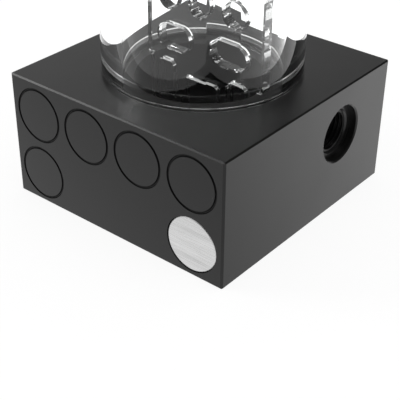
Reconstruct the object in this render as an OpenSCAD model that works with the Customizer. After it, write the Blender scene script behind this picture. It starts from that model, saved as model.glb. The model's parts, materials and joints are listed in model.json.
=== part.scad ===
// Coolant pump reservoir: a square acetal block that holds a flat canned pump,
// with a clear reservoir tube screwed into its top and a ported cap on the tube.
// Millimetres, +Z up along the tube, origin at the centre of the block's underside.
// The front face looks to -Y and the outlet port to +X.

/* [Block] */
// Width and depth of the square block
block_w = 80; // [78:1:100]
// Height of the block
block_h = 40; // [39:1:60]
// Chamfer round the top edges
edge_top = 0.4; // [0.2:0.1:1]
// Chamfer on the four upright edges
edge_side = 0.6; // [0.4:0.1:1.4]
// Chamfer round the bottom edges
edge_base = 0.2; // [0.2:0.1:0.8]

/* [Front face] */
// Outer diameter of each ring cut in the front face
ring_d = 17.3; // [14:0.1:17.5]
// Width of the ring's groove
ring_groove_w = 0.8; // [0.5:0.1:1.5]
// Depth of the ring's groove
ring_groove_depth = 0.6; // [0.3:0.1:1]
// Distance from the block's side to the middle of the nearest ring
ring_margin = 10.9; // [9.8:0.05:11]
// Height of the lower row of rings
ring_low_z = 10; // [9.5:0.1:10.2]
// Diameter of the plain metal badge
badge_d = 17.2; // [12:0.1:17.5]
// Thickness of the badge
badge_t = 1.1; // [0.8:0.1:2]
// Gap round the badge in its pocket
badge_gap = 0.12; // [0.1:0.01:0.2]

/* [Reservoir tube] */
// Outer diameter of the tube
tube_d = 60; // [59:0.5:64]
// Wall of the tube
tube_wall = 6; // [5:0.1:6.5]
// Height of the tube above the block
tube_h = 140; // [130:5:300]
// How far the threaded neck is set in from the tube's outside
neck_step = 2; // [1:0.1:3]
// Depth of the neck below the block's top
neck_h = 7.5; // [6.5:0.5:8]
// Height of the bevel at the tube's foot
foot_bevel_h = 1.7; // [0.5:0.1:3]
// How far the bevel goes in
foot_bevel = 0.6; // [0.2:0.1:1]
// Cord diameter of the seal under the neck
tube_seal_cord = 2; // [1.5:0.1:2.2]
// Gap between the neck and its groove
neck_gap = 0.1; // [0.05:0.01:0.15]

/* [Well] */
// Diameter of the well in the block
well_d = 41; // [40.8:0.1:42]
// How far the well's rim stays below the block's top
rim_drop = 0.7; // [0.2:0.1:1.5]
// Thickness of the floor between the well and the pump chamber
floor_t = 3; // [2:0.1:3.5]
// Diameter of the inlet hole to the impeller
inlet_d = 13; // [10:0.5:16]

/* [Anti-vortex plate] */
// Thickness of the plate
plate_t = 4; // [3:0.1:5]
// Gap between the plate's edge and the tube's bore
plate_bore_gap = 2.3; // [0.5:0.1:2.6]
// Gap between the edge of the plate's foot and the well
plate_well_gap = 0.3; // [0.1:0.1:1]
// Height of the plate above the well's rim
plate_h = 68; // [60:1:69]
// Width of the open slot in the middle of the foot
mid_slot_w = 13.2; // [8:0.1:14]
// Top of the middle slot, below the well's rim
mid_slot_drop = 3.1; // [2:0.1:5]
// Width of the two closed slots beside it
side_slot_w = 6.2; // [4:0.1:6.6]
// Distance of the side slots from the middle
side_slot_x = 13.4; // [12.6:0.1:14.2]
// How far the side slots end above the floor
side_slot_sill = 2.4; // [1:0.1:4]
// Corner radius of the slots
slot_corner_r = 1.6; // [0.5:0.1:2]
// Rows of windows in the upper part of the plate
window_rows = 5; // [0:1:5]
// Height of a window
window_h = 7.4; // [5:0.1:9]
// Width of a wide window; every second row has round ones
window_w = 12.6; // [8:0.1:14]
// Distance of the outer windows from the middle
window_x = 10.2; // [8:0.1:12]
// Height of the lowest row's middle above the well's rim
window_z = 8.2; // [6:0.1:12]
// Distance from row to row
window_pitch = 12.6; // [11:0.1:14]

/* [Cap] */
// Height of the cap above the tube
cap_h = 10; // [8:0.5:14]
// Chamfer of the cap's rims
cap_edge = 0.8; // [0.3:0.1:1.5]
// Depth of the cap's threaded plug in the tube
cap_plug_h = 10; // [9:0.5:14]
// Gap between the cap's plug and the tube
cap_gap = 0.1; // [0.05:0.01:0.1]
// Cord diameter of the cap's seal
cap_seal_cord = 1.9; // [1.6:0.1:2.2]
// Wall between the drop tube and the groove of the cap's seal
cap_port_wall = 1.9; // [1:0.1:3]
// Depth of the thread in each cap port
cap_thread_h = 11; // [9:0.5:13]
// Outer diameter of the drop tube under the return port
drop_d = 12; // [11.4:0.1:12.4]
// Wall of the drop tube
drop_wall = 1.5; // [1:0.1:2]
// Length of the drop tube
drop_h = 60; // [30:1:60]
// How far the drop tube is pressed into the cap
drop_seat_h = 6; // [4:0.5:7]

/* [Ports and plugs] */
// Diameter of the G 1/4 port at the crest of its thread
port_d = 13.16; // [12:0.01:13.2]
// Depth of the outlet port's thread
port_depth = 9; // [7:0.1:9.4]
// Diameter of the recess round the outlet port
port_recess_d = 17.6; // [16:0.1:20]
// Depth of the recess round the outlet port
port_recess_h = 2.6; // [1:0.1:2.8]
// Distance of the outlet port from the middle of its face
port_y = 15.6; // [15.2:0.1:16]
// Height of the outlet port
port_z = 24.7; // [24.4:0.1:25.5]
// Radial gap between a plug's thread and its port
plug_gap = 0.08; // [0.05:0.01:0.1]
// Width of a plug's head outside its seal
plug_rim = 0.7; // [0.4:0.1:1.2]
// Thickness of a plug's head
plug_head_h = 3; // [2.8:0.1:5]
// Length of a plug's thread
plug_thread_h = 8; // [5:0.5:8]
// Width across flats of a plug's hex socket
plug_hex = 6; // [4:0.5:8]
// Cord diameter of a plug's seal
plug_seal_cord = 1.7; // [1.4:0.1:1.8]

/* [Pump chamber and impeller] */
// Height of the pump chamber
chamber_h = 7.5; // [7:0.1:8]
// Diameter of the impeller
impeller_d = 26; // [25:0.1:27]
// Gap between the impeller and the tongue of the scroll
tongue_gap = 1.2; // [0.6:0.1:1.6]
// Diameter of the drilled throat from the scroll to the port
throat_d = 7.5; // [6:0.1:8]
// Number of impeller vanes
vane_count = 6; // [4:1:8]
// Thickness of a vane
vane_t = 1; // [0.6:0.1:1.4]
// Radius at which a vane starts
vane_start_r = 5.6; // [5:0.1:6.4]
// Radius of a vane's curve
vane_curve_r = 8; // [7.5:0.1:12]
// Angle that a vane wraps round the hub
vane_wrap = 60; // [40:1:66]
// Thickness of the impeller's lower disc
disc_t = 1.2; // [0.8:0.1:1.6]
// Thickness of the impeller's upper shroud
shroud_t = 0.9; // [0.6:0.1:1.2]
// Gap under the impeller
impeller_low_gap = 0.4; // [0.3:0.1:0.8]
// Gap over the impeller
impeller_top_gap = 0.6; // [0.4:0.1:1]

/* [Rotor] */
// Diameter of the fixed ceramic shaft
shaft_d = 3; // [2.4:0.1:3.4]
// Radial running gap of the bush on the shaft
shaft_gap = 0.05; // [0.03:0.01:0.08]
// Outer diameter of the carbon bush
bush_d = 6; // [5.4:0.1:6.4]
// Outer diameter of the impeller's hub
hub_d = 8.8; // [8:0.1:9.4]
// Gap between the ring magnet and the can
rotor_gap = 0.5; // [0.3:0.1:1]
// Height of the ring magnet
magnet_h = 7.8; // [5:0.1:8]
// Thickness of the thrust washer
washer_t = 0.4; // [0.3:0.1:0.5]
// Thickness of the clip at the shaft's tip
clip_t = 0.5; // [0.3:0.1:0.6]

/* [Separating can] */
// Outer diameter of the can's cup
cup_d = 26.8; // [26.4:0.1:27]
// Wall of the cup
cup_wall = 1; // [0.6:0.1:1.1]
// Thickness of the can's flange
flange_t = 2.6; // [2:0.1:3]
// Diameter of the can's flange and of the motor housing
motor_d = 59.8; // [59:0.1:61]
// Cord diameter of the can's seal
can_seal_cord = 1.5; // [1.2:0.1:1.6]
// Diameter of the can's seal at the middle of its cord
can_seal_d = 49.4; // [49:0.1:51]

/* [Motor] */
// Wall of the motor housing
housing_wall = 1.8; // [1.2:0.1:2.2]
// Number of stator teeth and coils
tooth_count = 6; // [6:1:6]
// Width of a tooth
tooth_w = 5; // [4:0.1:5.5]
// Thickness of the laminated core
core_t = 3.6; // [3:0.1:4.5]
// Width of the core's outer ring
yoke_w = 3.4; // [2.5:0.1:3.6]
// Wall of the bobbins on the teeth
bobbin_t = 0.5; // [0.4:0.1:0.6]
// Depth of winding beside a bobbin
coil_side = 2.6; // [1.5:0.1:2.8]
// Depth of winding above and below a bobbin
coil_over = 0.7; // [0.5:0.1:1]
// Thickness of the circuit board
board_t = 1.2; // [0.8:0.1:1.6]
// Height of the space under the board
board_gap = 1.6; // [1.5:0.1:2.5]

/* [Base] */
// Width of the base cover outside the motor, where its screws go
cover_rim = 5.6; // [5.4:0.1:6.5]
// Thickness of the base cover
cover_t = 2; // [1.8:0.1:3]
// Thread diameter of a cover screw
screw_d = 2.5; // [2:0.1:2.6]
// Length of a cover screw
screw_h = 9; // [6:0.5:12]
// Pitch of the four mounting holes under the block
mount_pitch = 66; // [65:0.5:69]
// Diameter of a mounting hole, tapped M4
mount_hole_d = 3.3; // [3:0.1:4]
// Depth of a mounting hole
mount_hole_h = 8; // [5:0.5:10]
// Diameter of the cable hole in the rear face
cable_hole_d = 7; // [6:0.1:7.4]
// Bore of the cable grommet
cable_d = 4.6; // [3:0.1:5]
// Diameter of the grommet's flange
grommet_d = 9.4; // [8.6:0.1:10]
// Thickness of the grommet's flange
grommet_t = 1.5; // [1:0.1:2]

/* [Hidden] */
$fn = 96;

// Small shared gaps
over = 0.1;           // how far a cut runs past the face it opens
slip = 0.1;           // radial gap of pieces that are set in a recess
press = 0.02;         // radial gap of pieces that are pressed in
air = 0.4;            // gap kept round windings
vane_inset = 0.3;     // how far the vanes end inside the impeller's rim

// Front face
ring_pitch = (block_w - 2 * ring_margin) / 3;

// Heights, from the underside up
board_z = cover_t + board_gap;
board_top = board_z + board_t;
winding = bobbin_t + coil_over;
ledge_t = winding + 0.2;
core_z = board_top + ledge_t;
core_top = core_z + core_t;
flange_z = core_top + winding + air;
chamber_z = flange_z + flange_t;
chamber_top = chamber_z + chamber_h;
well_z = chamber_top + floor_t;
rim_z = block_h - rim_drop;
tube_top = block_h + tube_h;
cap_top = tube_top + cap_h;

// Reservoir and well
tube_r = tube_d / 2;
bore_r = tube_r - tube_wall;
neck_r = tube_r - neck_step;
groove_in_r = bore_r - neck_gap;
groove_out_r = neck_r + neck_gap;
neck_z = block_h - neck_h;
groove_z = neck_z - tube_seal_cord;
well_r = well_d / 2;

// Half widths of the plate, so that its corners keep their gaps to the round walls
plate_half_w = sqrt(pow(bore_r - plate_bore_gap, 2) - pow(plate_t / 2, 2));
foot_half_w = sqrt(pow(well_r - plate_well_gap, 2) - pow(plate_t / 2, 2));

// Cap
cap_foot_z = tube_top - cap_plug_h;
cap_groove_r = bore_r - cap_seal_cord - 0.2;
cap_seal_z = cap_foot_z + 2 * cap_seal_cord;
cap_port_r = cap_groove_r - cap_port_wall - drop_d / 2;
port_a = [-90, 30, 150]; // angles of the fill, spare and return ports
thread_r = port_d / 2 - plug_gap;
plug_groove_r = thread_r + plug_seal_cord + 0.3;
plug_head_r = plug_groove_r + plug_rim;
plug_lift = 0.3;

// Pump chamber: the scroll widens clockwise, seen from above, up to the throat
impeller_r = impeller_d / 2;
throat_r = throat_d / 2;
tongue_r = impeller_r + tongue_gap;
scroll_end_r = port_y + throat_r;
tongue_a = asin((port_y - throat_r) / tongue_r);
scroll_sweep = tongue_a + 270;
scroll_steps = 60;
throat_x = tongue_r * cos(tongue_a);
port_floor_x = block_w / 2 - port_recess_h - port_depth;
throat_end_x = port_floor_x + throat_r;
throat_rise = atan2(port_z - chamber_z - chamber_h / 2, throat_end_x - throat_x);

// Impeller and rotor
impeller_z = chamber_z + impeller_low_gap;
vane_z = impeller_z + disc_t;
shroud_z = chamber_top - impeller_top_gap - shroud_t;
vane_h = shroud_z - vane_z;
shaft_r = shaft_d / 2;
bush_r = bush_d / 2;
hub_r = hub_d / 2;
cup_r = cup_d / 2;
cup_z = cover_t + 1;
magnet_r = cup_r - cup_wall - rotor_gap;
boss_top = cup_z + cup_wall + 1;
bush_z = boss_top + washer_t + 0.1;
hub_top = shroud_z - 1;
bush_top = hub_top + air;
clip_z = bush_top + 0.2;
shaft_top = clip_z + clip_t + 0.3;

// Motor
motor_r = motor_d / 2;
core_r = motor_r - housing_wall - slip;
yoke_in_r = core_r - yoke_w;
pole_r = cup_r + 0.6;
pole_t = 1.4;
pole_span = 44;
coil_in_r = pole_r + pole_t + 0.3;
coil_out_r = yoke_in_r - 1;
board_r = core_r - 0.2;
board_bore_r = cup_r + 0.8;
post_r = 1.5;
post_circle_r = board_r - post_r - 0.5;
part_h = board_gap - 0.3;
chip_w = 5;
socket_w = 8;
capacitor_r = 2;

// Base
cover_r = motor_r + cover_rim;
screw_circle_r = motor_r + cover_rim / 2;
cable_z = cover_t + grommet_d / 2 + 0.3;

// Colours
acetal = [0.09, 0.09, 0.095];
acrylic = [0.86, 0.91, 0.94, 0.35];
rubber = [0.03, 0.03, 0.03];
steel = [0.62, 0.63, 0.65];
aluminium = [0.78, 0.79, 0.8];
copper = [0.72, 0.4, 0.22];
ceramic = [0.93, 0.92, 0.88];
carbon = [0.16, 0.16, 0.17];
ferrite = [0.2, 0.2, 0.22];
glass_resin = [0.08, 0.3, 0.16];
moulding = [0.13, 0.13, 0.14];
nylon = [0.85, 0.83, 0.76];

// ---------------------------------------------------------------- helpers

// A ring of rectangular section from radius a to b, between heights z0 and z1
module ring(a, b, z0, z1) {
    translate([0, 0, z0]) difference() {
        cylinder(r = b, h = z1 - z0);
        translate([0, 0, -over]) cylinder(r = a, h = z1 - z0 + 2 * over);
    }
}

// An O-ring: cord diameter d on a circle of radius r, its middle at height z
module o_ring(r, d, z) {
    translate([0, 0, z]) rotate_extrude() translate([r, 0]) circle(d = d, $fn = 48);
}

// A flat rectangle with round corners, standing on its lower edge
module round_window(w, h, r) {
    translate([-w / 2 + r, 0]) square([w - 2 * r, h]);
    translate([-w / 2, r]) square([w, h - 2 * r]);
    for (x = [-w / 2 + r, w / 2 - r]) for (z = [r, h - r]) translate([x, z]) circle(r = r);
}

// Cuts and pieces that lie on the front face, drawn looking at it
module on_front(x, z) {
    translate([x, -block_w / 2, z]) rotate([-90, 0, 0]) children();
}

// Copies at the four corners of a square
module at_corners(pitch) {
    for (x = [-pitch / 2, pitch / 2]) for (y = [-pitch / 2, pitch / 2]) translate([x, y, 0]) children();
}

// Copies at the cover screws
module at_screws() {
    for (i = [0 : 3]) rotate(45 + 90 * i) translate([screw_circle_r, 0, 0]) children();
}

// Moves to one of the cap's ports, at the cap's top face: 0 fill, 1 spare, 2 return
module at_port(i) {
    translate([cap_port_r * cos(port_a[i]), cap_port_r * sin(port_a[i]), cap_top]) children();
}

// ---------------------------------------------------------------- block

// The block's side outline: a rectangle with bevelled corners
module block_side() {
    w = block_w / 2;
    polygon([
        [-w + edge_base, 0], [w - edge_base, 0], [w, edge_base], [w, block_h - edge_top],
        [w - edge_top, block_h], [-w + edge_top, block_h], [-w, block_h - edge_top], [-w, edge_base]
    ]);
}

// The block's plan outline
module block_plan() {
    w = block_w / 2;
    c = w - edge_side;
    polygon([[-c, -w], [c, -w], [w, -c], [w, c], [c, w], [-c, w], [-w, c], [-w, -c]]);
}

module block_blank() {
    intersection() {
        linear_extrude(height = block_h) block_plan();
        rotate([90, 0, 0]) translate([0, 0, -block_w]) linear_extrude(height = 2 * block_w) block_side();
        rotate([90, 0, 90]) translate([0, 0, -block_w]) linear_extrude(height = 2 * block_w) block_side();
    }
}

// The scroll's outline: a spiral from the tongue round to the throat
module scroll_outline() {
    polygon([
        for (i = [0 : scroll_steps])
            let (t = i / scroll_steps, a = tongue_a - scroll_sweep * t)
            (tongue_r + (scroll_end_r - tongue_r) * t) * [cos(a), sin(a)]
    ]);
    translate([0, port_y - throat_r]) square([throat_x + 1, throat_d]);
}

// Everything that carries coolant through the block
module wet_cuts() {
    translate([0, 0, well_z]) cylinder(r = well_r, h = block_h);
    ring(groove_in_r, groove_out_r, groove_z, block_h + over);
    translate([0, 0, rim_z]) cylinder(r = groove_in_r + over, h = block_h);
    translate([0, 0, chamber_z]) cylinder(d = inlet_d, h = block_h / 2);
    translate([0, 0, well_z - 0.8]) cylinder(d1 = inlet_d, d2 = inlet_d + 2, h = 1);
    translate([0, 0, chamber_z - over]) linear_extrude(height = chamber_h + over) scroll_outline();
    translate([throat_x, port_y, chamber_z + chamber_h / 2]) rotate([0, 90 - throat_rise, 0])
        cylinder(d = throat_d, h = (throat_end_x - throat_x) / cos(throat_rise));
    ring((can_seal_d - can_seal_cord) / 2 - 0.3, (can_seal_d + can_seal_cord) / 2 + 0.3,
        chamber_z - over, chamber_z + can_seal_cord);
}

// The outlet port: a recess for the fitting's collar, a lead-in and the thread's bore
module outlet_cut() {
    face_x = block_w / 2 - port_recess_h;
    translate([port_floor_x, port_y, port_z]) rotate([0, 90, 0]) cylinder(d = port_d, h = block_w);
    translate([face_x - 0.5, port_y, port_z]) rotate([0, 90, 0])
        cylinder(d1 = port_d, d2 = port_d + 1.2, h = 0.6);
    translate([face_x, port_y, port_z]) rotate([0, 90, 0])
        cylinder(d = port_recess_d, h = port_recess_h + over);
    translate([block_w / 2 - 0.4, port_y, port_z]) rotate([0, 90, 0])
        cylinder(d1 = port_recess_d, d2 = port_recess_d + 1, h = 0.5);
}

// One ring cut in the front face
module face_ring(column, row) {
    on_front((column - 1.5) * ring_pitch, ring_low_z + row * ring_pitch)
        ring(ring_d / 2 - ring_groove_w, ring_d / 2, -over, ring_groove_depth);
}

module front_cuts() {
    for (column = [0 : 3]) face_ring(column, 1);
    face_ring(0, 0);
    on_front(1.5 * ring_pitch, ring_low_z)
        translate([0, 0, -over]) cylinder(r = badge_d / 2 + badge_gap, h = badge_t + badge_gap + over);
}

// Recesses under the block for the motor, the cover, the screws and the cable
module base_cuts() {
    translate([0, 0, -over]) cylinder(r = cover_r + slip, h = cover_t + over);
    translate([0, 0, -over]) cylinder(r = motor_r + slip, h = chamber_z + over);
    at_screws() cylinder(r = screw_d / 2 + press, h = screw_h + 0.5);
    at_corners(mount_pitch) translate([0, 0, -over]) {
        cylinder(d = mount_hole_d, h = mount_hole_h + over);
        cylinder(d1 = mount_hole_d + 1.2, d2 = mount_hole_d, h = 0.6);
    }
    translate([0, motor_r, cable_z]) rotate([-90, 0, 0]) cylinder(d = cable_hole_d, h = block_w);
    translate([0, block_w / 2 - grommet_t, cable_z]) rotate([-90, 0, 0])
        cylinder(r = grommet_d / 2 + slip, h = block_w);
}

module pump_block() {
    color(acetal) difference() {
        block_blank();
        wet_cuts();
        outlet_cut();
        front_cuts();
        base_cuts();
    }
}

// Plain round badge, a hair below the block's face
module badge_disc() {
    color(aluminium) on_front(1.5 * ring_pitch, ring_low_z) translate([0, 0, badge_gap])
        cylinder(d1 = badge_d - 0.3, d2 = badge_d, h = 0.15);
    color(aluminium) on_front(1.5 * ring_pitch, ring_low_z) translate([0, 0, badge_gap + 0.15])
        cylinder(d = badge_d, h = badge_t - 0.15);
}

// ---------------------------------------------------------------- reservoir

// Clear tube with a bevelled foot and a threaded neck that screws into the block
module reservoir_tube() {
    color(acrylic) rotate_extrude(convexity = 4) polygon([
        [bore_r, neck_z], [neck_r - 0.6, neck_z], [neck_r, neck_z + 0.6], [neck_r, block_h],
        [tube_r - foot_bevel, block_h], [tube_r, block_h + foot_bevel_h], [tube_r, tube_top - 0.5],
        [tube_r - 0.5, tube_top], [bore_r + 0.4, tube_top], [bore_r, tube_top - 0.4]
    ]);
}

module tube_seal_ring() {
    color(rubber) o_ring((bore_r + neck_r) / 2, tube_seal_cord, groove_z + tube_seal_cord / 2);
}

// Round-ended windows in the upper part of the plate: wide pairs and threes of holes by turns
module plate_windows() {
    for (row = [0 : 1 : window_rows - 1]) translate([0, window_z + row * window_pitch - window_h / 2]) {
        wide = row % 2 == 0;
        w = wide ? window_w : window_h;
        for (x = wide ? [-window_x, window_x] : [-window_x - 2, 0, window_x + 2])
            translate([x, 0]) round_window(w, window_h, window_h / 2 - 0.01);
    }
}

// The plate's outline, drawn with its shoulders at height 0
module plate_outline() {
    foot_h = rim_z - well_z;
    difference() {
        union() {
            translate([-plate_half_w, 0]) square([2 * plate_half_w, plate_h]);
            translate([-foot_half_w, -foot_h]) square([2 * foot_half_w, foot_h + 1]);
        }
        plate_windows();
        translate([0, -foot_h - 2 * slot_corner_r])
            round_window(mid_slot_w, foot_h + 2 * slot_corner_r - mid_slot_drop, slot_corner_r);
        for (side = [-1, 1]) translate([side * side_slot_x, side_slot_sill - foot_h])
            round_window(side_slot_w, foot_h - side_slot_sill, slot_corner_r);
    }
}

// Clear plate that breaks the swirl, standing on the floor with its shoulders on the rim
module anti_vortex_plate() {
    color(acrylic) translate([0, plate_t / 2, rim_z]) rotate([90, 0, 0])
        linear_extrude(height = plate_t) plate_outline();
}

// ---------------------------------------------------------------- cap

module cap_blank() {
    plug_r = bore_r - cap_gap;
    rotate_extrude(convexity = 4) polygon([
        [0, cap_foot_z], [plug_r - cap_edge, cap_foot_z], [plug_r, cap_foot_z + cap_edge],
        [plug_r, tube_top], [tube_r - 0.3, tube_top], [tube_r, tube_top + 0.3],
        [tube_r, cap_top - cap_edge], [tube_r - cap_edge, cap_top], [0, cap_top]
    ]);
}

// Black cap with a plug for the tube's bore and three threaded ports
module top_cap() {
    groove_h = cap_seal_cord + 0.5;
    color(acetal) difference() {
        cap_blank();
        ring(cap_groove_r, tube_r, cap_seal_z - groove_h / 2, cap_seal_z + groove_h / 2);
        for (i = [0 : 2]) at_port(i) {
            translate([0, 0, -cap_thread_h]) cylinder(d = port_d, h = cap_h + cap_plug_h);
            translate([0, 0, -0.6]) cylinder(d1 = port_d, d2 = port_d + 1.4, h = 0.7);
            translate([0, 0, cap_foot_z - cap_top - over])
                cylinder(r = drop_d / 2 - drop_wall, h = cap_h + cap_plug_h);
        }
        at_port(2) translate([0, 0, cap_foot_z - cap_top - over])
            cylinder(r = drop_d / 2 + press, h = drop_seat_h + over);
    }
}

module cap_seal_ring() {
    color(rubber) o_ring((cap_groove_r + bore_r) / 2, cap_seal_cord, cap_seal_z);
}

// Return flow runs down this tube, so that it does not splash
module drop_tube() {
    color(acrylic) at_port(2) translate([0, 0, cap_foot_z - cap_top])
        ring(drop_d / 2 - drop_wall, drop_d / 2, drop_seat_h - drop_h, drop_seat_h);
}

// A plug at a port, with a hex socket and a groove for its seal
module port_plug(i) {
    top = plug_lift + plug_head_h;
    color(acetal) at_port(i) difference() {
        union() {
            translate([0, 0, plug_lift]) cylinder(r = plug_head_r, h = plug_head_h - 0.5);
            translate([0, 0, top - 0.5]) cylinder(r1 = plug_head_r, r2 = plug_head_r - 0.5, h = 0.5);
            translate([0, 0, 0.6 - plug_thread_h]) cylinder(r = thread_r, h = plug_thread_h);
            translate([0, 0, -plug_thread_h]) cylinder(r1 = thread_r - 0.6, r2 = thread_r, h = 0.6);
        }
        ring(thread_r, plug_groove_r, 0, plug_seal_cord + 0.15);
        translate([0, 0, top - 2.2]) cylinder(d = plug_hex / cos(30), h = 3, $fn = 6);
    }
}

module plug_seal(i) {
    color(rubber) at_port(i)
        o_ring(thread_r + plug_seal_cord / 2 + 0.15, plug_seal_cord, plug_seal_cord / 2 + 0.05);
}

module fill_plug() {
    port_plug(0);
}

module fill_plug_seal() {
    plug_seal(0);
}

module spare_plug() {
    port_plug(1);
}

module spare_plug_seal() {
    plug_seal(1);
}

// ---------------------------------------------------------------- impeller and rotor

// Centre of the arc through a vane's two ends, bulging towards the rotation
vane_a = [vane_start_r, 0];
vane_b = impeller_r * [cos(vane_wrap), sin(vane_wrap)];
vane_chord = vane_b - vane_a;
vane_len = norm(vane_chord);
vane_centre = (vane_a + vane_b) / 2
    + [-vane_chord[1], vane_chord[0]] / vane_len * sqrt(pow(vane_curve_r, 2) - pow(vane_len / 2, 2));

// One backward-curved vane: an arc kept between the eye and the rim, on one side only
module vane_outline() {
    intersection() {
        difference() {
            circle(r = impeller_r - vane_inset);
            circle(r = vane_start_r);
        }
        translate(vane_centre) difference() {
            circle(r = vane_curve_r + vane_t / 2);
            circle(r = vane_curve_r - vane_t / 2);
        }
        rotate(atan2(vane_centre[1], vane_centre[0]))
            translate([-impeller_d, -2 * impeller_d]) square(2 * impeller_d);
    }
}

// Hub, lower disc and curved vanes in one moulding
module impeller() {
    color(moulding) union() {
        difference() {
            union() {
                translate([0, 0, bush_z + 0.2]) cylinder(r = hub_r, h = hub_top - bush_z - 0.2);
                translate([0, 0, impeller_z]) cylinder(r = impeller_r, h = disc_t);
            }
            translate([0, 0, -over]) cylinder(r = bush_r, h = block_h);
        }
        for (i = [0 : vane_count - 1]) rotate(360 / vane_count * i)
            translate([0, 0, vane_z - 0.05]) linear_extrude(height = vane_h + 0.05) vane_outline();
    }
}

module impeller_shroud() {
    color(moulding) ring(inlet_d / 2, impeller_r, shroud_z, shroud_z + shroud_t);
}

module rotor_magnet() {
    color(ferrite) ring(hub_r, magnet_r, bush_z + 0.2, bush_z + 0.2 + magnet_h);
}

module rotor_bush() {
    color(carbon) ring(shaft_r + shaft_gap, bush_r, bush_z, bush_top);
}

module rotor_shaft() {
    color(ceramic) translate([0, 0, cup_z + 0.5]) cylinder(r = shaft_r, h = shaft_top - cup_z - 0.5);
}

module thrust_washer() {
    color(ceramic) ring(shaft_r + press, bush_r, boss_top, boss_top + washer_t);
}

module shaft_clip() {
    color(steel) ring(shaft_r, bush_r - 0.3, clip_z, clip_z + clip_t);
}

// Thin cup that keeps the coolant away from the stator
module separating_can() {
    color(moulding) difference() {
        union() {
            translate([0, 0, flange_z]) cylinder(r = motor_r, h = flange_t);
            translate([0, 0, cup_z]) cylinder(r = cup_r, h = chamber_z - cup_z);
        }
        difference() {
            translate([0, 0, cup_z + cup_wall]) cylinder(r = cup_r - cup_wall, h = block_h);
            translate([0, 0, cup_z]) cylinder(r = bush_r + 0.4, h = boss_top - cup_z);
        }
        translate([0, 0, cup_z + 0.5]) cylinder(r = shaft_r + press, h = block_h);
    }
}

module can_seal_ring() {
    color(rubber) o_ring(can_seal_d / 2, can_seal_cord, chamber_z + can_seal_cord / 2);
}

// ---------------------------------------------------------------- motor

// Laminated core: an outer ring and teeth that end in pole shoes
module stator_core() {
    color(steel) union() {
        ring(yoke_in_r, core_r, core_z, core_top);
        for (i = [0 : tooth_count - 1]) rotate(360 / tooth_count * i) {
            translate([pole_r + pole_t / 2, -tooth_w / 2, core_z])
                cube([yoke_in_r - pole_r, tooth_w, core_t]);
            rotate(-pole_span / 2) translate([0, 0, core_z]) rotate_extrude(angle = pole_span)
                translate([pole_r, 0]) square([pole_t, core_t]);
        }
    }
}

// A box round a tooth, from radius r0 to r1, grown by side and up from the tooth
module tooth_box(r0, r1, side, up) {
    translate([r0, -tooth_w / 2 - side, core_z - up]) cube([r1 - r0, tooth_w + 2 * side, core_t + 2 * up]);
}

module stator_bobbins() {
    for (i = [0 : tooth_count - 1]) color(nylon) rotate(360 / tooth_count * i) difference() {
        tooth_box(coil_in_r, coil_out_r, bobbin_t, bobbin_t);
        tooth_box(coil_in_r - 1, coil_out_r + 1, 0, 0);
    }
}

module stator_coils() {
    for (i = [0 : tooth_count - 1]) color(copper) rotate(360 / tooth_count * i) difference() {
        tooth_box(coil_in_r + 0.3, coil_out_r - 0.3, bobbin_t + coil_side, winding);
        tooth_box(coil_in_r - 1, coil_out_r + 1, bobbin_t, bobbin_t);
    }
}

// Ring between the cover and the can, with a ledge that carries the stator and holds the board
module motor_housing() {
    inner_r = motor_r - housing_wall;
    color(moulding) difference() {
        union() {
            ring(inner_r, motor_r, cover_t, flange_z);
            ring(coil_out_r + 0.5, inner_r + 0.5, board_top, core_z);
        }
        translate([0, coil_out_r, cable_z]) rotate([-90, 0, 0]) cylinder(d = cable_hole_d, h = motor_r);
    }
}

module circuit_board() {
    color(glass_resin) ring(board_bore_r, board_r, board_z, board_top);
}

// Drive chips, a sensor, two capacitors and the wire socket, under the board
module board_components() {
    part_z = board_z - part_h;
    color(carbon) for (a = [20, 140, 260]) rotate(a)
        translate([board_bore_r + 3, -chip_w / 2, part_z]) cube([chip_w - 1, chip_w, part_h]);
    color(carbon) rotate(200) translate([board_bore_r + 0.4, -1.5, board_z - 0.9]) cube([2, 3, 0.9]);
    color(aluminium) for (a = [70, 110]) rotate(a)
        translate([board_bore_r + 2 * capacitor_r, 0, part_z]) cylinder(r = capacitor_r, h = part_h);
    color(nylon) rotate(90)
        translate([board_r - 1 - socket_w / 2, -socket_w / 2, part_z]) cube([socket_w / 2, socket_w, part_h]);
}

// ---------------------------------------------------------------- base

// Round metal plate, flush with the underside, with three posts that carry the board
module base_cover() {
    color(aluminium) difference() {
        union() {
            cylinder(r1 = cover_r - 0.3, r2 = cover_r, h = 0.3);
            translate([0, 0, 0.3]) cylinder(r = cover_r, h = cover_t - 0.3);
            for (i = [0 : 2]) rotate(120 * i + 45) translate([post_circle_r, 0, cover_t - over])
                cylinder(r = post_r, h = board_gap + over);
        }
        at_screws() {
            translate([0, 0, -over]) cylinder(r = screw_d / 2 + slip, h = cover_t + 2 * over);
            translate([0, 0, 0.3]) cylinder(r1 = screw_d + slip, r2 = screw_d / 2 + slip, h = screw_d / 2);
            translate([0, 0, -over]) cylinder(r = screw_d + slip, h = 0.4 + over);
        }
    }
}

// Four countersunk screws, each with a hex socket
module cover_screws() {
    color(steel) at_screws() difference() {
        union() {
            translate([0, 0, 0.1]) cylinder(r = screw_d, h = 0.2);
            translate([0, 0, 0.3]) cylinder(r1 = screw_d, r2 = screw_d / 2, h = screw_d / 2);
            translate([0, 0, 0.3]) cylinder(r = screw_d / 2, h = screw_h - 0.3);
        }
        cylinder(r = screw_d / 2.6, h = 1.2, $fn = 6);
    }
}

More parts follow.
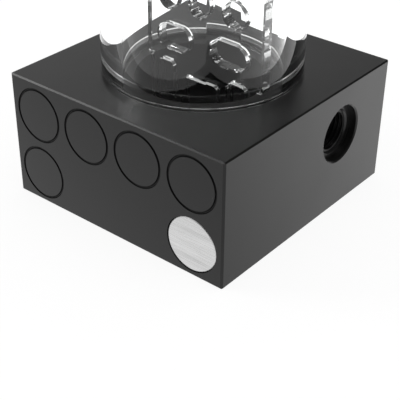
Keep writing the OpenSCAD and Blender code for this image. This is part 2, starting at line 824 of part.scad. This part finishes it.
// Soft bush in the rear face that the pump's lead would pass through
module cable_grommet() {
    color(rubber) translate([0, 0, cable_z]) rotate([-90, 0, 0]) difference() {
        union() {
            translate([0, 0, block_w / 2 - grommet_t]) cylinder(d = grommet_d, h = grommet_t);
            translate([0, 0, motor_r + 0.6])
                cylinder(d = cable_hole_d - slip, h = block_w / 2 - grommet_t - motor_r);
        }
        cylinder(d = cable_d, h = block_w);
    }
}

pump_block();
badge_disc();
reservoir_tube();
tube_seal_ring();
anti_vortex_plate();
top_cap();
cap_seal_ring();
drop_tube();
fill_plug();
fill_plug_seal();
spare_plug();
spare_plug_seal();
impeller();
impeller_shroud();
rotor_magnet();
rotor_bush();
rotor_shaft();
thrust_washer();
shaft_clip();
separating_can();
can_seal_ring();
stator_core();
stator_bobbins();
stator_coils();
motor_housing();
circuit_board();
board_components();
base_cover();
cover_screws();
cable_grommet();
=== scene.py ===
"""Looks of the coolant pump reservoir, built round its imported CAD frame.

Metres, in the frame's own axes: the block's front face looks to -Y, its outlet port to +X.
Clear parts are rebuilt as fine closed meshes with real thread forms and broken edges, and
every CAD node that stays gets a procedural material.
"""

import json
import math

import bmesh
import bpy
from mathutils import Matrix, Vector


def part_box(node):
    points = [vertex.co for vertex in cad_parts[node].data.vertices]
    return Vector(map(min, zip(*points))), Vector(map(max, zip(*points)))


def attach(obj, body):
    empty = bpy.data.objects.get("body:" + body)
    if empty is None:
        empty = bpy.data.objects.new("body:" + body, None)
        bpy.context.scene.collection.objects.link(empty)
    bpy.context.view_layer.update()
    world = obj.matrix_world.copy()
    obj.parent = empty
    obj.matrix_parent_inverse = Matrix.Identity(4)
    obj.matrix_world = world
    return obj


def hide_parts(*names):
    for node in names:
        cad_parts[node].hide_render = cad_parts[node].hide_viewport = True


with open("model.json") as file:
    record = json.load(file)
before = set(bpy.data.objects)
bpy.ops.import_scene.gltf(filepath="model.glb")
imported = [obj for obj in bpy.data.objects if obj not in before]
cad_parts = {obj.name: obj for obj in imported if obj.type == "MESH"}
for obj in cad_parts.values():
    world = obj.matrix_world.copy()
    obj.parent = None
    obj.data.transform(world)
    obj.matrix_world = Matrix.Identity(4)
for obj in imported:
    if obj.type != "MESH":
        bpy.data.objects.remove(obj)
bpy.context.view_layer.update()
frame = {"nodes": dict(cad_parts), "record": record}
nodes = frame["nodes"]

MM = 0.001
TURN = 2 * math.pi

# ------------------------------------------------------------------ sizes, from the frame


def span(node, axis):
    """Lowest and highest coordinate of a CAD node along one axis."""
    low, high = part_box(node)
    return low[axis], high[axis]


block_low, block_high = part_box("pump_block")
block_top = block_high.z
tube_low, tube_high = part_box("reservoir_tube")
tube_r = tube_high.x
tube_top = tube_high.z
neck_z = tube_low.z
cap_top = span("top_cap", 2)[1]
plate_low, plate_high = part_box("anti_vortex_plate")
plate_t = plate_high.y - plate_low.y
mounts = {m["name"]: m for m in frame["record"]["mounts"]}
well_r = 20.45 * MM  # from here out to turned_r is the rim round the well
turned_r = 24.2 * MM  # the lathe's marks reach this far from the tube's axis

# ------------------------------------------------------------------ camera


def make_camera():
    """A long lens from above the block's front corner; the tube runs out of frame at the top."""
    azimuth, elevation, roll = (math.radians(a) for a in (39.17, 33.10, 0.594))
    forward = Vector((
        -math.sin(azimuth) * math.cos(elevation),
        math.cos(azimuth) * math.cos(elevation),
        -math.sin(elevation),
    ))
    data = bpy.data.cameras.new("camera")
    data.lens = 90.71
    data.sensor_width = 36
    data.clip_start, data.clip_end = 0.01, 30
    camera = bpy.data.objects.new("camera", data)
    bpy.context.scene.collection.objects.link(camera)
    turn = forward.to_track_quat("-Z", "Y").to_matrix() @ Matrix.Rotation(roll, 3, "Z")
    camera.matrix_world = Matrix.Translation((0.17181, -0.21153, 0.17009)) @ turn.to_4x4()
    bpy.context.scene.camera = camera


make_camera()

# ------------------------------------------------------------------ shader helpers


class Shader:
    """A material's node tree with short ways to add and join nodes."""

    def __init__(self, name):
        self.material = bpy.data.materials.new(name)
        self.material.use_nodes = True
        self.tree = self.material.node_tree
        self.body = self.tree.nodes["Principled BSDF"]
        self.output = self.tree.nodes["Material Output"]

    def set(self, **values):
        """Sets the main shader's sockets: base_color=... stands for "Base Color"."""
        for key, value in values.items():
            self.socket(key).default_value = value
        return self

    def socket(self, key):
        """The main shader's input with this name, in lower case with underscores."""
        found = {s.name.lower().replace(" ", "_"): s for s in self.body.inputs}
        return found[key]

    def add(self, kind, settings=None, **inputs):
        """Adds a node; inputs are numbers, colours, or other nodes' output sockets.

        An input goes by its name, or by its place: i0, i1 and so on."""
        node = self.tree.nodes.new("ShaderNode" + kind)
        for key, value in (settings or {}).items():
            setattr(node, key, value)
        for key, value in inputs.items():
            place = int(key[1:]) if key[0] == "i" and key[1:].isdigit() else None
            socket = node.inputs[place] if place is not None else next(
                s for s in node.inputs if s.name.lower().replace(" ", "_") == key)
            if isinstance(value, bpy.types.NodeSocket):
                self.tree.links.new(value, socket)
            else:
                socket.default_value = value
        return node

    def link(self, source, key):
        self.tree.links.new(source, self.socket(key))
        return self

    def math(self, operation, a, b=0.0):
        return self.add("Math", {"operation": operation}, i0=a, i1=b).outputs[0]

    def place(self, scale=(1, 1, 1)):
        """Object coordinates, which are the frame's metres, stretched by scale."""
        coordinates = self.add("TexCoord").outputs["Object"]
        return self.add("Mapping", vector=coordinates, scale=scale).outputs[0]

    def noise(self, vector, scale, detail=2.0, roughness=0.5):
        return self.add("TexNoise", vector=vector, scale=scale, detail=detail,
                        roughness=roughness).outputs["Fac"]

    def ramp(self, factor, low, high, start=0.3, end=0.7):
        """Maps factor from start..end to the range low..high."""
        node = self.add("MapRange", value=factor, from_min=start, from_max=end,
                        to_min=low, to_max=high)
        return node.outputs[0]

    def blend(self, factor, low, high):
        """A colour between two greys or colours."""
        node = self.add("Mix", {"data_type": "RGBA"})
        node.inputs[6].default_value = colour(low)
        node.inputs[7].default_value = colour(high)
        self.tree.links.new(factor, node.inputs[0])
        return node.outputs[2]

    def bump(self, height, distance, strength=1.0):
        node = self.add("Bump", height=height, distance=distance, strength=strength)
        return self.link(node.outputs[0], "normal")


def colour(value):
    """RGBA from a grey level or from three channels, in linear light."""
    rgb = (value,) * 3 if isinstance(value, (int, float)) else tuple(value)
    return (*rgb, 1)


# ------------------------------------------------------------------ materials


def acetal():
    """Black acetal, milled and bead blasted, with lathe marks and a duller rim at the well."""
    s = Shader("acetal")
    fine = s.noise(s.place(), 2600, 3)
    cloud = s.noise(s.place(), 60, 2)
    x, y, z = s.add("SeparateXYZ", vector=s.add("TexCoord").outputs["Object"]).outputs
    radius = s.math("SQRT", s.math("ADD", s.math("MULTIPLY", x, x), s.math("MULTIPLY", y, y)))
    round_axis = s.add("CombineXYZ", x=radius, y=z).outputs[0]
    marks = s.noise(round_axis, 2400, 4, 0.7)
    turned = s.math("LESS_THAN", radius, turned_r)
    grain = s.math("ADD", s.math("MULTIPLY", fine, s.math("SUBTRACT", 1.0, turned)),
                   s.math("MULTIPLY", s.math("MULTIPLY", marks, 3.0), turned))
    s.link(s.blend(cloud, 0.006, 0.0085), "base_color")
    milled = s.ramp(s.math("ADD", s.math("MULTIPLY", fine, 0.5), s.math("MULTIPLY", cloud, 0.5)),
                    0.28, 0.36)
    rim = s.math("MULTIPLY", s.math("GREATER_THAN", radius, well_r), turned)
    s.link(s.math("ADD", milled, s.math("MULTIPLY", rim, 0.4)), "roughness")
    s.set(ior=1.48)
    return s.bump(grain, 0.012 * MM, 0.5).material


def acrylic():
    """Clear cast acrylic; lamps reach what stands behind it."""
    s = Shader("acrylic")
    s.set(base_color=colour((0.985, 0.99, 0.988)), transmission_weight=1.0, ior=1.49)
    s.link(s.ramp(s.noise(s.place(), 45, 3), 0.0, 0.02, 0.55, 0.8), "roughness")
    clear = s.add("BsdfTransparent", color=colour(0.9)).outputs[0]
    shadow = s.add("LightPath").outputs["Is Shadow Ray"]
    surface = s.add("MixShader", i0=shadow, i1=s.body.outputs[0], i2=clear).outputs[0]
    s.tree.links.new(surface, s.output.inputs["Surface"])
    return s.material


def rubber():
    """Matt black seal rubber."""
    s = Shader("rubber")
    grain = s.noise(s.place(), 1800, 3)
    s.link(s.blend(s.noise(s.place(), 300), 0.008, 0.014), "base_color")
    s.link(s.ramp(grain, 0.55, 0.75), "roughness")
    return s.bump(grain, 0.01 * MM, 0.4).material


def brushed(name, low, high, roughness, direction, depth=0.006):
    """Metal brushed along one axis: streaks are long along it and fine across it."""
    s = Shader(name)
    stretch = tuple(0.02 if axis == direction else 1 for axis in "xyz")
    streaks = s.noise(s.place(stretch), 5200, 4, 0.65)
    broad = s.noise(s.place(stretch), 900, 2)
    both = s.math("ADD", s.math("MULTIPLY", streaks, 0.7), s.math("MULTIPLY", broad, 0.3))
    s.link(s.blend(s.ramp(both, 0, 1), low, high), "base_color")
    s.link(s.ramp(both, roughness - 0.07, roughness + 0.07), "roughness")
    s.set(metallic=1.0)
    return s.bump(streaks, depth * MM, 0.6).material


def cast(name, low, high, roughness, grain=1400, depth=0.012):
    """A plain moulded, sintered or stamped finish with a fine grain."""
    s = Shader(name)
    fine = s.noise(s.place(), grain, 3)
    s.link(s.blend(s.noise(s.place(), grain / 8), low, high), "base_color")
    s.link(s.ramp(fine, roughness - 0.06, roughness + 0.06), "roughness")
    return s.bump(fine, depth * MM, 0.4).material


def layered(name, low, high, roughness, pitch, metallic):
    """Fine level lines, such as sheet laminations or enamelled wire; pitch in millimetres."""
    s = Shader(name)
    wave = s.add("TexWave", {"wave_type": "BANDS", "bands_direction": "Z"},
                 vector=s.place(), scale=TURN / 20 / (pitch * MM), distortion=0.3).outputs["Fac"]
    s.link(s.blend(wave, low, high), "base_color")
    s.link(s.ramp(s.noise(s.place(), 900), roughness - 0.05, roughness + 0.05), "roughness")
    s.set(metallic=metallic)
    return s.bump(wave, 0.05 * MM, 0.6).material


def groove_shade_acetal():
    """Acetal for the ring grooves: matt, with a darker colour and a weaker reflection than the
    blasted faces, as painted shade in the grooves.
    """
    s = Shader("acetal_cut")
    # Painted shade: a base colour darker than the faces' and a low specular level darken the
    # grooves
    s.link(s.blend(s.noise(s.place(), 900), 0.003, 0.005), "base_color")
    s.link(s.ramp(s.noise(s.place(), 2600, 3), 0.45, 0.6), "roughness")
    s.set(ior=1.48, specular_ior_level=0.34)
    return s.material


# Painted shade for the ring grooves
groove_painted_shade = groove_shade_acetal()
finishes = {
    "acetal": acetal(),
    "acrylic": acrylic(),
    "rubber": rubber(),
    "badge_metal": brushed("badge_metal", 0.62, 1.0, 0.28, "x", 0.005),
    "cover_metal": brushed("cover_metal", 0.42, 0.56, 0.38, "x"),
    "lamination": layered("lamination", 0.16, 0.3, 0.45, 0.35, 0.9),
    "screw_steel": brushed("screw_steel", 0.38, 0.52, 0.3, "z"),
    "spring_steel": brushed("spring_steel", 0.3, 0.45, 0.32, "z"),
    "copper": layered("copper", (0.5, 0.17, 0.06), (0.75, 0.3, 0.13), 0.32, 0.4, 1.0),
    "ceramic": cast("ceramic", 0.74, 0.82, 0.25, 900, 0.004),
    "carbon": cast("carbon", 0.018, 0.03, 0.5),
    "ferrite": cast("ferrite", 0.03, 0.045, 0.55, 900, 0.02),
    "moulding": cast("moulding", 0.014, 0.02, 0.42, 700),
    "nylon": cast("nylon", (0.66, 0.62, 0.5), (0.74, 0.7, 0.58), 0.45),
    "circuit": cast("circuit", (0.006, 0.06, 0.025), (0.01, 0.09, 0.035), 0.3, 700, 0.01),
    "chip": cast("chip", 0.012, 0.02, 0.5, 1600),
}


def dress_nodes():
    """Gives each CAD node the finish of its material slot."""
    for node in nodes.values():
        for place in node.material_slots:
            place.material = finishes[place.material.name.split(".")[0]]


# ------------------------------------------------------------------ mesh helpers


def piece(name, mesh, body, slot, stands_for=None, sharp=30, finish=None):
    """Links a mesh as a piece that rides on a body.

    It has its slot's finish, or one of its own, and edges over sharp degrees stay crisp."""
    mesh.polygons.foreach_set("use_smooth", [True] * len(mesh.polygons))
    mesh.set_sharp_from_angle(angle=math.radians(sharp))
    mesh.materials.clear()
    mesh.materials.append(finish or finishes[slot])
    made = bpy.data.objects.new(name, mesh)
    bpy.context.scene.collection.objects.link(made)
    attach(made, body)
    if stands_for:
        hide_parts(stands_for)


def rounded(points, steps=3, hold=0.0):
    """A closed outline with each corner (a, b, radius) turned into an arc.

    Hold adds a point that far before and after each arc, so that smooth shading stays in it."""
    made = []
    for i, (a, b, radius) in enumerate(points):
        corner = Vector((a, b))
        if not radius:
            made.append(corner)
            continue
        before = (Vector(points[i - 1][:2]) - corner).normalized()
        after = (Vector(points[(i + 1) % len(points)][:2]) - corner).normalized()
        half = before.angle(after) / 2
        reach = radius / math.tan(half)
        centre = corner + (before + after).normalized() * (radius / math.sin(half))
        start = corner + before * reach - centre
        sweep = start.angle_signed(corner + after * reach - centre)
        if hold:
            made.append(corner + before * (reach + hold))
        for k in range(steps + 1):
            made.append(centre + Matrix.Rotation(-sweep * k / steps, 2) @ start)
        if hold:
            made.append(corner + after * (reach + hold))
    return [tuple(p) for p in made]


class Thread:
    """A screw thread as a stretch of a lathe's profile, from height a to height b.

    All threads count their turns from z = 0, so those of one pitch and phase fit each other."""

    # Height of one tooth, as (share of the pitch, share of the depth)
    TOOTH = ((0.0, 0.0), (0.14, 0.04), (0.2, 0.12), (0.36, 0.88), (0.42, 0.96),
             (0.5, 1.0), (0.58, 0.96), (0.64, 0.88), (0.8, 0.12), (0.86, 0.04))

    def __init__(self, a, b, base, crest, pitch, phase=0.0, run_out=True):
        self.a, self.b, self.base, self.crest = a, b, base, crest
        self.pitch, self.phase, self.run_out = pitch, phase, run_out

    def points(self, share):
        """The profile's points at this share of a full turn."""
        low, high = sorted((self.a, self.b))
        fade_h = 0.6 * self.pitch
        made = []
        for k in range(math.floor(low / self.pitch) - 2, math.ceil(high / self.pitch) + 1):
            for at, height in self.TOOTH:
                z = (k + at + share + self.phase) * self.pitch
                z = min(max(z, low), high)
                fade = min(1.0, (z - low) / fade_h)
                if self.run_out:
                    fade = min(fade, (high - z) / fade_h)
                made.append((self.base + (self.crest - self.base) * height * max(fade, 0), z))
        return made if self.a < self.b else made[::-1]


class Hexagon:
    """A point of a lathe's profile that goes round a hexagon: a socket's wall."""

    def __init__(self, flats, z):
        self.flats, self.z = flats, z

    def points(self, share):
        side = (share * 6 % 1 - 0.5) * TURN / 6
        return [(self.flats / 2 / math.cos(side), self.z)]


def lathe(name, profile, columns=192, around=(0, 0)):
    """A closed solid of revolution; profile holds (r, z) points, Threads and Hexagons.

    The last column stands where the first does, one turn on; merging the two closes the seam."""
    mesh = bpy.data.meshes.new(name)
    bm = bmesh.new()
    rows = []
    for j in range(columns + 1):
        share = j / columns
        angle = TURN * (j % columns) / columns
        points = []
        for part in profile:
            points += [part] if isinstance(part, tuple) else part.points(share)
        rows.append([bm.verts.new((around[0] + r * math.cos(angle),
                                   around[1] + r * math.sin(angle), z)) for r, z in points])
    count = len(rows[0])
    for left, right in zip(rows, rows[1:]):
        for i in range(count):
            k = (i + 1) % count
            bm.faces.new((left[i], right[i], right[k], left[k]))
    bmesh.ops.remove_doubles(bm, verts=bm.verts, dist=2e-7)
    bmesh.ops.dissolve_degenerate(bm, edges=bm.edges, dist=1e-7)
    bmesh.ops.recalc_face_normals(bm, faces=bm.faces)
    bm.to_mesh(mesh)
    bm.free()
    return mesh


# ------------------------------------------------------------------ reservoir

CAP_PITCH = 2 * MM
NECK_PITCH = 1.5 * MM
PORT_PITCH = 1.337 * MM
bore_r = tube_r - 6 * MM
neck_r = tube_r - 2 * MM
HOLD = 0.1 * MM  # how far from a rounded edge its shading may spread


def build_tube():
    """Clear tube: bevelled foot, threaded neck, and the cap's thread cut in its bore."""
    lead, edge = 0.6 * MM, 0.15 * MM
    low = [(bore_r, neck_z), (neck_r - lead, neck_z), (neck_r, neck_z + lead)]
    top = rounded([
        (neck_r, block_top, 0), (tube_r - lead, block_top, 0.16 * MM),
        (tube_r - 0.35 * MM, block_top + 1.2 * MM, 0.1 * MM),
        (tube_r, block_top + 1.5 * MM, 0.2 * MM), (tube_r, tube_top - 0.5 * MM, edge),
        (tube_r - 0.5 * MM, tube_top, edge), (bore_r + 0.85 * MM, tube_top, edge),
        (bore_r, tube_top - 0.4 * MM, 0), (bore_r, neck_z, 0),
    ], 3, HOLD)[:-2]
    neck_thread = Thread(neck_z + 0.9 * MM, block_top - 0.5 * MM, neck_r, neck_r - 0.8 * MM,
                         NECK_PITCH)
    cap_thread = Thread(tube_top - 0.4 * MM, tube_top - 5 * MM, bore_r, bore_r + 0.75 * MM,
                        CAP_PITCH, run_out=False)
    mesh = lathe("tube", low + [neck_thread] + top + [cap_thread])
    piece("tube", mesh, "housing", "acrylic", "reservoir_tube")


def curve_plate(name, outlines, depth, bevel):
    """An upright plate across y = 0, from closed outlines in x and z, filled and bevelled."""
    data = bpy.data.curves.new(name, "CURVE")
    data.dimensions = "2D"
    data.fill_mode = "BOTH"
    data.extrude = depth / 2 - bevel
    data.bevel_depth = bevel
    data.bevel_resolution = 0
    data.offset = -bevel
    for outline in outlines:
        spline = data.splines.new("POLY")
        spline.points.add(len(outline) - 1)
        for point, (x, z) in zip(spline.points, outline):
            point.co = (x, z, 0, 1)
        spline.use_cyclic_u = True
    holder = bpy.data.objects.new(name, data)
    bpy.context.scene.collection.objects.link(holder)
    bpy.context.view_layer.update()
    graph = bpy.context.evaluated_depsgraph_get()
    mesh = bpy.data.meshes.new_from_object(holder.evaluated_get(graph))
    mesh.transform(Matrix.Rotation(math.pi / 2, 4, "X"))
    bpy.data.objects.remove(holder)
    bm = bmesh.new()
    bm.from_mesh(mesh)
    bmesh.ops.remove_doubles(bm, verts=bm.verts, dist=1e-6)
    bmesh.ops.recalc_face_normals(bm, faces=bm.faces)
    bm.to_mesh(mesh)
    bm.free()
    return mesh


def window(x, z, width, height, radius, steps=12):
    """A round-cornered opening, centred at x and z."""
    w, h = width / 2, height / 2
    corners = [(x - w, z - h, radius), (x + w, z - h, radius),
               (x + w, z + h, radius), (x - w, z + h, radius)]
    return rounded(corners, steps)


def build_plate():
    """Clear anti-vortex plate: slots in its foot and rows of windows above."""
    floor, top = plate_low.z, plate_high.z
    rim = block_top - 0.7 * MM
    half, foot = plate_high.x, 20.1 * MM
    mid, mid_top, corner = 6.6 * MM, rim - 3.1 * MM, 1.6 * MM
    edge, bevel = 0.25 * MM, 0.35 * MM
    outline = rounded([
        (-foot, floor, edge), (-mid, floor, edge), (-mid, mid_top, corner),
        (mid, mid_top, corner), (mid, floor, edge), (foot, floor, edge), (foot, rim, edge),
        (half, rim, edge), (half, top, edge), (-half, top, edge), (-half, rim, edge),
        (-foot, rim, edge),
    ], 12)
    slot_x, slot_w, sill = 13.4 * MM, 6.2 * MM, floor + 2.4 * MM
    holes = [window(side * slot_x, (sill + rim) / 2, slot_w, rim - sill, corner)
             for side in (-1, 1)]
    first_row, row_pitch, height, wide_w = (n * MM for n in (8.2, 12.6, 7.4, 12.6))
    wide_row, narrow_row = (-10.2, 10.2), (-12.2, 0, 12.2)
    for row in range(5):
        z = rim + first_row + row_pitch * row
        places, width = (narrow_row, height) if row % 2 else (wide_row, wide_w)
        for x in places:
            holes.append(window(x * MM, z, width, height, height / 2 - 0.01 * MM, 24))
    mesh = curve_plate("plate", [outline, *holes], plate_t, bevel)
    piece("plate", mesh, "housing", "acrylic", "anti_vortex_plate", 12)


build_tube()
build_plate()

# ------------------------------------------------------------------ ports and cap

PORT_ROOT, PORT_CREST = 6.53 * MM, 5.95 * MM
SHANK_ROOT, SHANK_CREST = 5.85 * MM, 6.45 * MM
LINING = 0.11 * MM  # how far a sleeve goes into the wall that carries it


def sleeve(low, high, around=(0, 0)):
    """The thread in a port: a thin sleeve whose inside carries the ridges."""
    outer = PORT_ROOT + LINING
    profile = [(outer, high), (outer, low), (PORT_ROOT, low),
               Thread(low, high, PORT_ROOT, PORT_CREST, PORT_PITCH, run_out=False)]
    return lathe("thread", profile, 120, around)


def build_outlet_thread():
    """The outlet port's thread, laid along the port's axis."""
    mount = mounts["outlet_port"]
    half = mount["dims"]["length_mm"] / 2 * MM
    mesh = sleeve(-half + 0.4 * MM, half - 0.5 * MM)
    turn = Vector((0, 0, 1)).rotation_difference(Vector(mount["axis"])).to_matrix().to_4x4()
    mesh.transform(Matrix.Translation(Vector(mount["pos_m"])) @ turn)
    piece("outlet_thread", mesh, "housing", "acetal")


def centre_of(node):
    """Where a CAD node's middle is, in x and y."""
    low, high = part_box(node)
    return ((low.x + high.x) / 2, (low.y + high.y) / 2)


def build_cap_threads():
    """Threads in the cap's three ports, and the thread round the cap's spigot."""
    ports = {"return": mounts["return_port"]["pos_m"][:2],
             "fill": centre_of("fill_plug"), "spare": centre_of("spare_plug")}
    for name, around in ports.items():
        mesh = sleeve(cap_top - 10.6 * MM, cap_top - 0.7 * MM, around)
        piece(name + "_thread", mesh, "cap", "acetal")
    low, high = tube_top - 4.7 * MM, tube_top - 1.6 * MM
    spigot = bore_r - 0.12 * MM
    inside = spigot - 0.2 * MM
    profile = [(inside, high), (inside, low),
               Thread(low, high, spigot, bore_r + 0.62 * MM, CAP_PITCH)]
    piece("cap_thread", lathe("cap_thread", profile), "cap", "acetal")


def build_port_plug(name, body, node):
    """A screw plug: threaded shank, seal groove, and a head with a hexagon socket."""
    around = centre_of(node)
    low, high = span(node, 2)
    head_r = (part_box(node)[1].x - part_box(node)[0].x) / 2
    head_foot, head_edge = cap_top + 0.3 * MM, 0.5 * MM
    groove_r, groove_top = 8.5 * MM, cap_top + 1.85 * MM
    thread_low, thread_high = low + 0.5 * MM, cap_top - 0.4 * MM
    flats, socket, lead, drill = 6 * MM, high - 2.2 * MM, 0.25 * MM, 0.6 * MM
    fine, broad = 0.1 * MM, 0.2 * MM
    outside = rounded([
        (SHANK_CREST, cap_top, 0), (SHANK_CREST, groove_top, fine),
        (groove_r, groove_top, fine), (groove_r, head_foot, fine),
        (head_r, head_foot, 0.15 * MM), (head_r, high - head_edge, broad),
        (head_r - head_edge, high, broad), (0, high, 0),
    ], 3, HOLD / 2)[:-1]
    profile = [(0, low), (SHANK_ROOT - 0.5 * MM, low), (SHANK_ROOT, thread_low),
               Thread(thread_low, thread_high, SHANK_ROOT, SHANK_CREST, PORT_PITCH, 0.5),
               (SHANK_ROOT, thread_high), *outside,
               Hexagon(flats + 2 * lead, high), Hexagon(flats, high - lead),
               Hexagon(flats, socket), (0, socket - drill)]
    piece(name, lathe(name, profile, 120, around), body, "acetal", node)


def build_drop_tube():
    """Clear drop tube under the return port, its ends faced and broken."""
    low, high = span("drop_tube", 2)
    outer, inner, edge = 6 * MM, 4.5 * MM, 0.25 * MM
    profile = rounded([(outer, low, edge), (outer, high, edge), (inner, high, edge),
                       (inner, low, edge)], 3, HOLD)
    mesh = lathe("drop", profile, 96, centre_of("drop_tube"))
    piece("drop", mesh, "cap", "acrylic", "drop_tube")


build_outlet_thread()
build_cap_threads()
build_port_plug("fill_screw", "fill", "fill_plug")
build_port_plug("spare_screw", "spare", "spare_plug")
build_drop_tube()

# ------------------------------------------------------------------ front face

RING_R, RING_W, RING_DEPTH = 8.65 * MM, 0.8 * MM, 0.6 * MM
RING_BED = 0.4 * MM  # depth of the groove's rounded bottom


def on_front(mesh, x, z):
    """Turns a mesh made round +Z so that +Z points out of the front face at x and z."""
    mesh.transform(Matrix.Translation((x, block_low.y, z)) @ Matrix.Rotation(math.pi / 2, 4, "X"))
    return mesh


def build_rings():
    """Round-bottomed linings of the five ring grooves, in matt acetal darkened as painted shade.
    """
    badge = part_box("badge_disc")
    x_end, z_low = centre_of("badge_disc")[0], (badge[0].z + badge[1].z) / 2
    pitch = x_end * 2 / 3
    places = [(column, 1) for column in range(4)] + [(0, 0)]
    middle, half = RING_R - RING_W / 2, RING_W / 2 - 0.01 * MM
    outer, mouth, under = half + 0.06 * MM, -0.04 * MM, -RING_DEPTH - 0.05 * MM
    bed_z = -RING_DEPTH + RING_BED + 0.02 * MM
    for number, (column, row) in enumerate(places):
        bed = [(middle + half * math.cos(a), bed_z - RING_BED * math.sin(a))
               for a in (math.pi * k / 10 for k in range(11))]
        profile = [(middle + half, mouth), *bed, (middle - half, mouth),
                   (middle - outer, under), (middle + outer, under)]
        mesh = on_front(lathe("ring", profile, 144), (column - 1.5) * pitch, z_low + row * pitch)
        # The linings carry the grooves' painted shade
        piece(f"ring_{number}", mesh, "housing", "acetal", finish=groove_painted_shade)


def build_badge():
    """Bare round badge of brushed metal with a turned bevel."""
    low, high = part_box("badge_disc")
    radius, face = (high.x - low.x) / 2, block_low.y - low.y
    back = block_low.y - high.y
    soft = 0.08 * MM
    profile = [(0, face), *rounded([
        (radius - 0.4 * MM, face, soft), (radius, face - 0.25 * MM, soft),
        (radius, back, 0.05 * MM), (0, back, 0)], 3, HOLD / 2)]
    mesh = on_front(lathe("badge", profile, 144), (low.x + high.x) / 2, (low.z + high.z) / 2)
    piece("badge", mesh, "housing", "badge_metal", "badge_disc")


build_rings()
build_badge()

dress_nodes()

# ------------------------------------------------------------------ studio


def seen_by(tree, *kinds):
    """1 for rays of these kinds, such as Camera or Glossy, and else 0."""
    path = tree.nodes.new("ShaderNodeLightPath")
    total = path.outputs[f"Is {kinds[0]} Ray"]
    for kind in kinds[1:]:
        total = joined(tree, "MAXIMUM", total, path.outputs[f"Is {kind} Ray"])
    return total


def joined(tree, operation, a, b):
    """A Math node's output; a and b are sockets or numbers."""
    node = tree.nodes.new("ShaderNodeMath")
    node.operation = operation
    for socket, value in zip(node.inputs, (a, b)):
        if isinstance(value, bpy.types.NodeSocket):
            tree.links.new(value, socket)
        else:
            socket.default_value = value
    return node.outputs[0]


def fade(tree, value, start, end, low, high):
    """Low to high, smoothly, while value goes from start to end."""
    node = tree.nodes.new("ShaderNodeMapRange")
    node.interpolation_type = "SMOOTHSTEP"
    for socket, number in zip(node.inputs[1:5], (start, end, low, high)):
        socket.default_value = number
    tree.links.new(value, node.inputs[0])
    return node.outputs[0]


def mixed(tree, factor, first, second):
    """A Mix Shader's output; factor chooses between the first and second shader."""
    node = tree.nodes.new("ShaderNodeMixShader")
    for socket, value in zip(node.inputs, (factor, first, second)):
        tree.links.new(value, socket)
    return node.outputs[0]


def make_world():
    """A white surround; reflections show its left side bright and its right side dim."""
    world = bpy.data.worlds.new("studio")
    bpy.context.scene.world = world
    world.use_nodes = True
    tree = world.node_tree
    tree.nodes.clear()
    lit, seen, mirrored = (tree.nodes.new("ShaderNodeBackground") for _ in range(3))
    lit.inputs[1].default_value = 0.5
    seen.inputs[1].default_value = 1.0
    for background in (lit, seen, mirrored):
        background.inputs[0].default_value = colour(1.0)
    across = tree.nodes.new("ShaderNodeSeparateXYZ")
    tree.links.new(tree.nodes.new("ShaderNodeTexCoord").outputs["Generated"], across.inputs[0])
    tree.links.new(fade(tree, across.outputs[0], -0.8, 0.0, 0.65, 0.07), mirrored.inputs[1])
    # Through the clear parts, the surround is as white near the horizon as it is past them
    low = fade(tree, across.outputs[2], 0.1, 0.35, 1.0, 0.0)
    glazed = joined(tree, "MULTIPLY", seen_by(tree, "Transmission"), low)
    indirect = seen_by(tree, "Glossy", "Transmission")
    shader = mixed(tree, indirect, lit.outputs[0], mirrored.outputs[0])
    white = joined(tree, "MAXIMUM", seen_by(tree, "Camera"), glazed)
    shader = mixed(tree, white, shader, seen.outputs[0])
    out = tree.nodes.new("ShaderNodeOutputWorld")
    tree.links.new(shader, out.inputs[0])


def make_floor():
    """A plain pale floor that fades to white and keeps the object's soft shadow."""
    mesh = bpy.data.meshes.new("floor")
    half = 6.0
    mesh.from_pydata([(-half, -half, 0), (half, -half, 0), (half, half, 0), (-half, half, 0)],
                     [], [(0, 1, 2, 3)])
    floor = bpy.data.objects.new("floor", mesh)
    bpy.context.scene.collection.objects.link(floor)
    floor.location.z = block_low.z - 0.05 * MM
    material = bpy.data.materials.new("floor")
    material.use_nodes = True
    tree = material.node_tree
    body = tree.nodes["Principled BSDF"]
    body.inputs["Base Color"].default_value = colour(0.86)
    body.inputs["Roughness"].default_value = 0.8
    body.inputs["Specular IOR Level"].default_value = 0.2
    glow, mirrored = (tree.nodes.new("ShaderNodeEmission") for _ in range(2))
    glow.inputs[1].default_value = 1.1
    place = tree.nodes.new("ShaderNodeSeparateXYZ")
    tree.links.new(tree.nodes.new("ShaderNodeTexCoord").outputs["Object"], place.inputs[0])
    # Painted reflection: glossy rays see the floor glow, dim in front of the block and
    # brightening to the ground behind it, as if the floor in front lay in shade
    back = joined(tree, "MULTIPLY", place.outputs[1], 0.94)
    back = joined(tree, "ADD", back, joined(tree, "MULTIPLY", place.outputs[0], -0.35))
    tree.links.new(fade(tree, back, -0.085, 0.08, 0.75, 1.75), mirrored.inputs[1])
    share = joined(tree, "MULTIPLY", seen_by(tree, "Camera", "Transmission"), 0.8)
    shader = mixed(tree, share, body.outputs[0], glow.outputs[0])
    share = joined(tree, "MULTIPLY", seen_by(tree, "Glossy"), 0.8)
    shader = mixed(tree, share, shader, mirrored.outputs[0])
    tree.links.new(shader, tree.nodes["Material Output"].inputs[0])
    mesh.materials.append(material)


def soft_box(name, place, aim, size, power):
    """A square area lamp turned to a point."""
    data = bpy.data.lights.new(name, "AREA")
    data.shape = "SQUARE"
    data.size = size
    data.energy = power
    lamp = bpy.data.objects.new(name, data)
    bpy.context.scene.collection.objects.link(lamp)
    turn = (Vector(aim) - Vector(place)).to_track_quat("-Z", "Y").to_matrix().to_4x4()
    lamp.matrix_world = Matrix.Translation(place) @ turn


make_world()
make_floor()
soft_box("key", (-0.94, -0.58, 0.76), (0, 0, 0.05), 0.45, 3.4)
soft_box("fill", (0.25, 0.2, 1.4), (0, 0, 0.05), 0.8, 4)

bpy.context.scene.view_settings.view_transform = "Standard"
